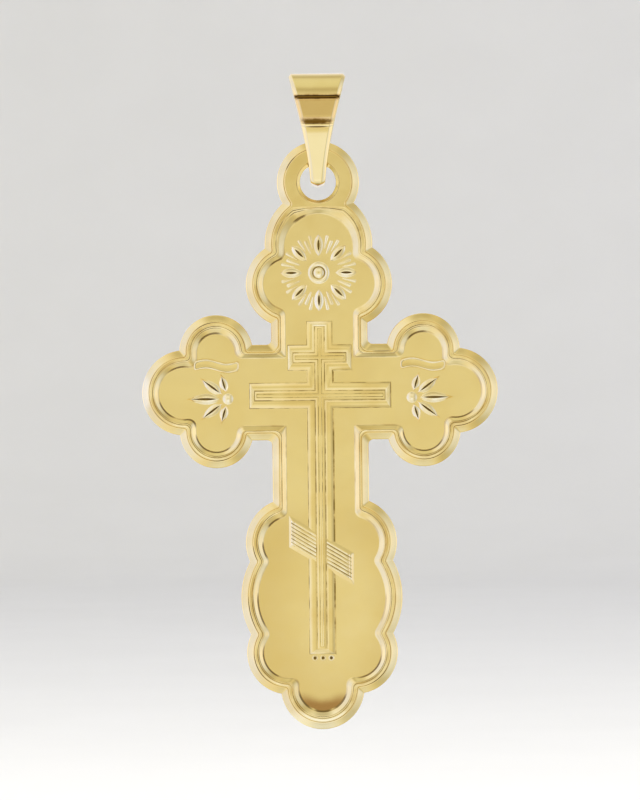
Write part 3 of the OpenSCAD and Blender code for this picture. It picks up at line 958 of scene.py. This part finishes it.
def gold(name, light, deep, rough, grain, painted_spots=(), clouds=260):
    """Gold that shifts between two tones in clouds, and is rough from one value to another."""
    material, tree, shader, place = new_material(name)
    shader.inputs["Metallic"].default_value = 1.0

    share = spread(tree, noise(tree, place, clouds, *CLOUDS), *CLOUD_RANGE, 0, 1)
    tone = blended(tree, share, light, deep)
    for spot in painted_spots:
        tone = spotted(tree, place, tone, spot)
    # Narrow corners get the browner painted shade
    corner = add(tree, "AmbientOcclusion", {"Distance": CORNER_REACH}, "AO", samples=CORNER_SAMPLES)
    open_share = spread(tree, corner, *CORNER_RANGE, 0, 1)
    fill(tree, shader.inputs["Base Color"], blended(tree, open_share, CORNER_SHADE, tone))

    smears = noise(tree, place, *SMEARS)
    fill(tree, shader.inputs["Roughness"], spread(tree, smears, *SMEAR_RANGE, *rough))

    bump = {"Strength": 1.0}
    for texture, depth in zip((SWELL, PITS), grain):
        bump.update(Distance=depth, Height=noise(tree, place, *texture))
        bump["Normal"] = add(tree, "Bump", bump)
    fill(tree, shader.inputs["Normal"], bump["Normal"])
    return material


# %% Painted light and shade, and finishes of the cross
def at(x, z):
    """A place on the cross, from the crossing of its bars."""
    return (x, 0, CROSSING + z)


LIGHT_GOLD, DEEP_GOLD = (0.92, 0.72, 0.27, 1), (0.89, 0.68, 0.24, 1)
# A reddish-brown painted shade at the bottom of the field, by the tip
TIP_SHADE = PaintedSpot(at(0, -19.95), (1.75, 2, 1.6), (0.38, 0.88), 0.1, (0.42, 0.22, 0.055, 1), 0.95,
                  (CROSSING - 21.2, CROSSING - 20.2))
# A warmer painted shade over the lower field, fading upwards
LOW_FIELD_SHADE = PaintedSpot(at(0.7, -14.6), (4.8, 3, 7), (0.35, 1.05), 0.05, (0.8, 0.58, 0.18, 1), 0.8,
                  (CROSSING - 10, CROSSING - 7))
# A pale painted highlight round the ear's hole
HOLE_HIGHLIGHT = PaintedSpot(at(0, 14), (1.43, 3, 1.43), (1.01, 0.97), 0.03, (1, 0.95, 0.7, 1), 0.85)
# Pale painted highlights on the rim and band, at the tip and the left arm's end: [sideways place, height,
# sideways radius, radius in height, strength]
HIGHLIGHT_PLACES = [(0, -22.2, 2.6, 0.9, 0.7), (-12, -0.1, 0.7, 1.8, 0.6)]
HIGHLIGHTS = [PaintedSpot(at(x, z), (rx, 3, rz), (1.1, 0.5), 0.3, (1, 0.86, 0.44, 1), s) for x, z, rx, rz, s in HIGHLIGHT_PLACES]
# Painted shadows at the foot of the rim's slope: [sideways place, height, radius]
SHADOW_PLACES = [
    (-1.7, 15.2, 0.7), (0.9, 12.9, 0.5), (-1.4, 11.8, 0.7), (-2.8, 8.6, 0.6), (-4.6, 3.5, 0.7),
    (4.2, 2.9, 0.8), (-7.5, 3.9, 1.1), (6.5, 3.8, 0.9), (-9.5, 1.3, 0.8), (-8.7, -1.95, 0.7),
    (-10.4, -1.3, 0.9), (9.6, -1.8, 1), (-7.9, -3.6, 0.9), (-6.8, -4.1, 1), (7.4, -3.9, 1.3),
    (5.8, -3.3, 0.7), (-3.2, -8.9, 0.6), (-4.1, -10.9, 0.8), (-4.3, -14.9, 1.4), (-3.7, -18.5, 1.4),
    (3.4, -18.9, 1.3), (-1.3, -21, 0.9), (1.2, -21.1, 0.8), (0, -21.6, 0.7),
]
SHADOWS = [PaintedSpot(at(x, z), (r, 3, r), (1, 0.5), 0.3, (0.2, 0.11, 0.02, 1), 0.85) for x, z, r in SHADOW_PLACES]
# How deep the swell and the pits are, in metres
SMOOTH, ROUGHER = (0.00005, 0.0000006), (0.00004, 0.0000006)
# [name, light tone, deep tone, rough from and to, swell and pits, spots of painted light and shade, scale of
# the clouds]
FINISHES = [
    ("rim_gold", LIGHT_GOLD, (0.86, 0.64, 0.21, 1), (0.06, 0.1), SMOOTH, [HOLE_HIGHLIGHT, *HIGHLIGHTS], 420),
    ("back_gold", LIGHT_GOLD, DEEP_GOLD, (0.1, 0.16), SMOOTH),
    ("band_gold", (0.95, 0.76, 0.31, 1), (0.74, 0.52, 0.16, 1), (0.07, 0.12), SMOOTH, HIGHLIGHTS, 640),
    ("foot_gold", LIGHT_GOLD, (0.7, 0.49, 0.15, 1), (0.1, 0.16), SMOOTH, SHADOWS, 520),
    ("field_gold", LIGHT_GOLD, DEEP_GOLD, (0.13, 0.2), SMOOTH, [LOW_FIELD_SHADE, TIP_SHADE]),
    # Creases and slits in dark painted shade, and pale painted highlights on the raised work
    ("crease_gold", (0.34, 0.22, 0.045, 1), (0.84, 0.62, 0.2, 1), (0.18, 0.28), ROUGHER, SHADOWS, 1100),
    ("deep_gold", (0.13, 0.07, 0.012, 1), (0.2, 0.12, 0.02, 1), (0.25, 0.35), ROUGHER, (), 900),
    ("cut_gold", (0.97, 0.82, 0.42, 1), (0.9, 0.7, 0.27, 1), (0.16, 0.26), ROUGHER, (), 900),
]
cross_golds = [gold(*row) for row in FINISHES]
print("finishes:", [made.name for made in cross_golds])

# %% Finish the cross
cross_piece = cross.piece("cross_body", cross_golds)
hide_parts("cross")
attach(cross_piece, "cross")

# %% [markdown]
# ## The bail
# The bail is a strap of gold bent into a drop: a round top for the chain, two legs that draw in, and
# a narrow closed foot through the ear. Seen from the front it tapers. A section of the strap with
# softened edges, carried round the drop, makes it in one go. On the front it has a flat panel between
# the round top and the leg, with a dark fold above it and another below. There the leg starts with a
# raised lip and a fine line. The folds are real steps in the mesh, and painted shade makes them dark;
# the panel and the bottom corner get a browner painted shade too.

# %% Side view of the bail
LOOP_R, LOOP_WALL = 2.26, 0.78
# [radius of the top, half depth at the foot, bottom, radius of the bottom corners]
OUTER_DROP = (LOOP_R, 1.66, -5.4, 0.45)
INNER_DROP = (LOOP_R - LOOP_WALL, 0.93, -4.22, 0.25)


def flank_start(drop):
    r, half, bottom, corner = drop
    turn = math.atan2(bottom + corner, half) + math.acos(r / math.hypot(half, bottom + corner))
    return r * math.cos(turn), r * math.sin(turn)


def drop_depth(drop, z):
    """Half the depth of a drop at a height above its bottom corners."""
    r, half, bottom, corner = drop
    y, start = flank_start(drop)
    if z >= start:
        return math.sqrt(max(r * r - z * z, 0))
    k = (z - bottom - corner) / (start - bottom - corner)
    return half + (y - half) * k


FLAT_STEPS, CORNER_STEPS = 4, 6


def drop_bottom(drop):
    """Points from the middle of the bottom round its corner, as [depth, height]."""
    _, half, bottom, corner = drop
    low, turned = (half - corner, bottom), (half - corner, bottom + corner)
    return line((0, bottom), low, FLAT_STEPS) + arc(turned, low, (half, bottom + corner), CORNER_STEPS, 1)


# %% Stations round the bail
# The front where it leaves the drop's own shape: [height, depth in front of the middle]
PANEL = [
    (0.68, 2.155), (0.655, 2.162), (0.637, 2.15), (0.627, 2.1), (0.615, 2.03), (0.59, 1.995), (0.55, 1.985),
    (0.5, 1.99), (0.455, 2.015), (0.425, 2.045), (0.39, 2.063), (0.34, 2.07), (0.1, 2.07), (-0.3, 2.07),
    (-0.7, 2.07), (-0.82, 2.068), (-0.9, 2.055), (-0.97, 2.032), (-1.04, 2.012), (-1.12, 2.0), (-1.2, 2.005),
    (-1.245, 2.03), (-1.262, 2.07), (-1.277, 2.095), (-1.3, 2.104), (-1.36, 2.097), (-1.43, 2.086),
    (-1.455, 2.072), (-1.475, 2.058), (-1.5, 2.066), (-1.54, 2.07),
]
# Heights of the stations: down the flanks, round the top every so many degrees, and on the panel
FLANK_STEPS, TOP_TURNS, CLOSEST = 14, range(-6, 90, 3), 0.004
knee, inner_knee = [bottom + corner for _, _, bottom, corner in (OUTER_DROP, INNER_DROP)]
heights = sorted({knee + (flank_start(OUTER_DROP)[1] - knee) * t for t in even(FLANK_STEPS)}
                 | {LOOP_R * math.sin(math.radians(turn)) for turn in TOP_TURNS}
                 | {z for z, _ in PANEL})
heights = [z for i, z in enumerate(heights) if i == 0 or z - heights[i - 1] > CLOSEST] + [LOOP_R]


def front_depth(z):
    if PANEL[-1][0] <= z <= PANEL[0][0]:
        return float(np.interp(z, *zip(*PANEL[::-1])))
    return drop_depth(OUTER_DROP, z)


def stations(outer_depth):
    """Pairs of points [depth, height], outside and inside, from the bottom to the top."""
    pairs = list(zip(drop_bottom(OUTER_DROP), drop_bottom(INNER_DROP)))
    for z in heights:
        k = (z - knee) / (LOOP_R - knee)
        inner_z = inner_knee + (INNER_DROP[0] - inner_knee) * k
        pairs.append(((outer_depth(z), z), (drop_depth(INNER_DROP, inner_z), inner_z)))
    return pairs


front = [((-o[0], o[1]), (-i[0], i[1])) for o, i in stations(front_depth)]
back = stations(lambda z: drop_depth(OUTER_DROP, z))
round_bail = front + back[-2:0:-1]
print("stations round the bail:", len(round_bail))

# %% [markdown]
# The strap's section is a ring of its own: across the outside, over a soft edge, down the side and
# back across the inside. Its width comes from the height of each point, so the front view keeps the
# taper that the CAD part has.

# %% Section of the bail
BOTTOM_HALF, TOP_HALF, FLARE, TIP_ROUND, LEAST_HALF = 0.49, 2.0, 1.5, 0.32, 0.02
BAIL_FOOT = OUTER_DROP[2]
# [inset from the side, depth into the wall]
OUTER_EDGE = [
    (0.28, 0), (0.26, 0.001), (0.225, 0.018), (0.17, 0.058), (0.1, 0.118), (0.05, 0.165), (0.018, 0.21),
    (0.003, 0.26), (0, 0.3), (0, 0.31),
]
INNER_EDGE = [(0, 0.16), (0.01, 0.09), (0.04, 0.035), (0.1, 0.0)]


def bail_half(z):
    k = max((z - BAIL_FOOT) / (LOOP_R - BAIL_FOOT), 0)
    half = BOTTOM_HALF + (TOP_HALF - BOTTOM_HALF) * k ** FLARE
    below = max(BAIL_FOOT + TIP_ROUND - z, 0)
    return half - TIP_ROUND + math.sqrt(max(TIP_ROUND ** 2 - below ** 2, 0))


def bail_section(outer, inner):
    wall = math.dist(outer, inner)
    right = []
    for inset, depth in OUTER_EDGE + [(inset, wall - depth) for inset, depth in INNER_EDGE]:
        y, z = mix(outer, inner, depth / wall)
        right.append((max(bail_half(z) - inset, LEAST_HALF), y, z))
    outer_middle = [(right[0][0] * t, *right[0][1:]) for t in (0, 0.5)]
    inner_middle = [(right[-1][0] * t, *right[-1][1:]) for t in (0.5, 0)]
    half = outer_middle + right + inner_middle
    return half + [(-x, y, z) for x, y, z in half[-2:0:-1]]


bail = Surface()
rings = [bail.gather(bail_section(outer, inner)) for outer, inner in round_bail]
bail.stack(rings + [rings[0]])
print("bail:", len(bail.points), "points")

# %% Finish the bail
# Tones of the bail's painted shade
WARM, BROWN, BLACK = (0.66, 0.41, 0.12, 1), (0.5, 0.27, 0.055, 1), (0.15, 0.07, 0.004, 1)
# Painted shade on the panel, its folds, the fine line and the bottom corner: [middle, radii, how ragged,
# colour, strength]
FOLD_SHADE_MARKS = [
    ((0, -2.1, -0.2), (8, 0.9, 1.2), 0.1, WARM, 0.45), ((0, -2.1, 0.5), (6, 0.6, 0.3), 0.4, BROWN, 0.5),
    ((-0.1, -2.1, -1.06), (1.6, 0.6, 0.34), 0.4, BROWN, 0.6),
    ((0, -2.1, 0.54), (6, 0.6, 0.17), 0.7, BLACK, 0.95),
    ((-0.1, -2.1, -1.1), (1.4, 0.6, 0.24), 0.7, BLACK, 0.95),
    ((0, -2.1, -1.475), (1, 0.6, 0.07), 0.2, BLACK, 0.9), ((0, -1.3, -5.45), (2, 1, 0.24), 0.2, BROWN, 0.75),
]
FOLD_SHADES = [PaintedSpot(middle, radii, (1, 0.45), *rest) for middle, radii, *rest in FOLD_SHADE_MARKS]
bail_gold = gold("bail_gold", LIGHT_GOLD, DEEP_GOLD, (0.08, 0.14), SMOOTH, FOLD_SHADES)
bail_piece = bail.piece("bail_strap", [bail_gold])
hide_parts("bail")
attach(bail_piece, "bail")

# %% [markdown]
# ## Floor and light
# Jewellers photograph gold in a white tent, because polished metal shows whatever stands round it.
# Here the tent is a pale floor that curves up into a wall all round, and a sky that gives the gold
# its reflections. The sky is painted by direction, so it stays put when the view moves. It is even
# straight ahead, dimmer high overhead, and cooler to the sides and below. On yellow metal that cool
# light is what makes an edge look white instead of orange. The floor is hidden from reflections, so
# its tone can be set for the backdrop alone.

# %% Floor that turns up into a wall
FLOOR_Z, FLOOR_R, WALL_R, WALL_TOP, MIDDLE_R, BEND_STEPS = -64, 700, 1000, 900, 0.5, 16
PAPER_TONES, PAPER_ROUGH, FIBRES = [(0.77, 0.755, 0.685, 1), (0.81, 0.795, 0.725, 1)], 0.9, (40, 5)
floor, bend = Surface(), WALL_R - FLOOR_R
turns = [math.pi / 2 * i / BEND_STEPS for i in range(1, BEND_STEPS + 1)]
profile = [(MIDDLE_R, FLOOR_Z), (FLOOR_R, FLOOR_Z)]
profile += [(FLOOR_R + bend * math.sin(t), FLOOR_Z + bend * (1 - math.cos(t))) for t in turns]
profile.append((WALL_R, WALL_TOP))
floor_rings = [floor.gather([(x, y, z) for x, y in circle(0, 0, r, "floor")]) for r, z in profile]
floor.stack(floor_rings)
floor.face(floor_rings[0])

paper, paper_tree, paper_shader, paper_place = new_material("paper")
paper_tone = blended(paper_tree, noise(paper_tree, paper_place, *FIBRES), *PAPER_TONES)
fill(paper_tree, paper_shader.inputs["Base Color"], paper_tone)
paper_shader.inputs["Roughness"].default_value = PAPER_ROUGH
floor_piece = floor.piece("floor", [paper])
floor_piece.visible_glossy = False

# %% Sky
world = bpy.data.worlds.new("studio")
bpy.context.scene.world = world
world.use_nodes = True
sky = world.node_tree
parts = add(sky, "SeparateXYZ", {0: add(sky, "TexCoord", {}, "Generated")}).node.outputs
# [height of the direction from -1 to 1, brightness in red, green and blue]
SKY = [
    (-1, 0.5, 0.5, 0.52), (-0.975, 0.6, 0.62, 0.68), (-0.94, 0.8, 0.85, 1.1), (-0.857, 0.88, 0.96, 1.4),
    (-0.6, 0.98, 1.05, 1.45), (-0.3, 1.08, 1.2, 1.9), (-0.17, 0.98, 1.06, 1.5), (-0.1, 0.88, 0.89, 0.94),
    (-0.05, 0.85, 0.85, 0.85), (0, 0.88, 0.88, 0.88), (0.04, 0.78, 0.78, 0.78), (0.08, 0.72, 0.7, 0.66),
    (0.13, 0.8, 0.79, 0.78), (0.24, 0.95, 0.95, 1.0), (0.45, 1.02, 1.06, 1.35), (0.64, 0.86, 0.88, 1.0),
    (0.76, 0.7, 0.69, 0.68), (0.84, 0.57, 0.55, 0.52), (0.89, 0.62, 0.6, 0.57), (0.94, 0.8, 0.82, 0.84),
    (1, 0.84, 0.88, 0.94),
]
# [sideways direction from -1 to 1, brightness in red, green and blue]
SIDES = [
    (-1, 1.35, 1.35, 1.9), (-0.95, 1.08, 1.15, 1.85), (-0.85, 0.88, 1.01, 2.1), (-0.6, 0.98, 1.06, 1.6),
    (-0.35, 0.98, 1.0, 1.2), (-0.15, 0.88, 0.88, 0.9), (0.15, 0.84, 0.83, 0.82), (0.33, 0.86, 0.85, 0.85),
    (0.48, 0.68, 0.67, 0.65), (0.62, 0.6, 0.61, 0.68), (0.75, 0.78, 0.86, 1.3), (0.86, 0.86, 0.99, 1.75),
    (0.95, 1.08, 1.12, 1.65), (1, 1.3, 1.32, 1.8),
]
# The brightest that a ramp may be, and how far aside the second ramp begins and has taken over
SKY_MOST, SIDE_RANGE = 2.5, (0.08, 0.45)


def painted(tree, share, rows):
    """A smooth ramp of colours along a direction that runs from -1 to 1."""
    ramp = add(tree, "ValToRGB", {"Fac": spread(tree, share, -1, 1, 0, 1, "LINEAR")}).node
    ramp.color_ramp.interpolation = "B_SPLINE"
    stops = ramp.color_ramp.elements
    while len(stops) < len(rows):
        stops.new(0.5)
    for stop, (place, *colour) in zip(stops, rows):
        stop.position = (place + 1) / 2
        stop.color = (*(c / SKY_MOST for c in colour), 1)
    return ramp.outputs["Color"]


sideways = spread(sky, joined(sky, "ABSOLUTE", parts["X"]), *SIDE_RANGE, 0, 1)
tent = blended(sky, sideways, painted(sky, parts["Z"], SKY), painted(sky, parts["X"], SIDES))
background = sky.nodes["Background"]
fill(sky, background.inputs["Color"], tent)
background.inputs["Strength"].default_value = SKY_MOST
print("sky:", len(SKY), "tones by height and", len(SIDES), "by side")

# %% [markdown]
# Three soft lamps light the paper, two from the sides and one from above. They are hidden from
# reflections too, so the gold shows the painted sky alone and the two can be set apart.

# %% Lamps
# [place in mm, size in mm, watts]
LAMPS = [((-320, -260, 260), 260, 1.5), ((320, -260, 260), 260, 1.5), ((0, -120, 480), 300, 1.25)]
for i, (place, size, power) in enumerate(LAMPS):
    lamp = new_object(f"lamp_{i}", bpy.data.lights.new(f"lamp_{i}", "AREA"))
    lamp.location = Vector(place) * MM
    lamp.rotation_euler = (VIEW_MIDDLE * MM - lamp.location).to_track_quat("-Z", "Y").to_euler()
    lamp.data.size = size * MM
    lamp.data.energy = power
    lamp.visible_camera = False
    lamp.visible_glossy = False
scene_view = bpy.context.scene.view_settings
scene_view.view_transform = "Standard"
scene_view.look = "None"
print("lamps:", len(LAMPS))
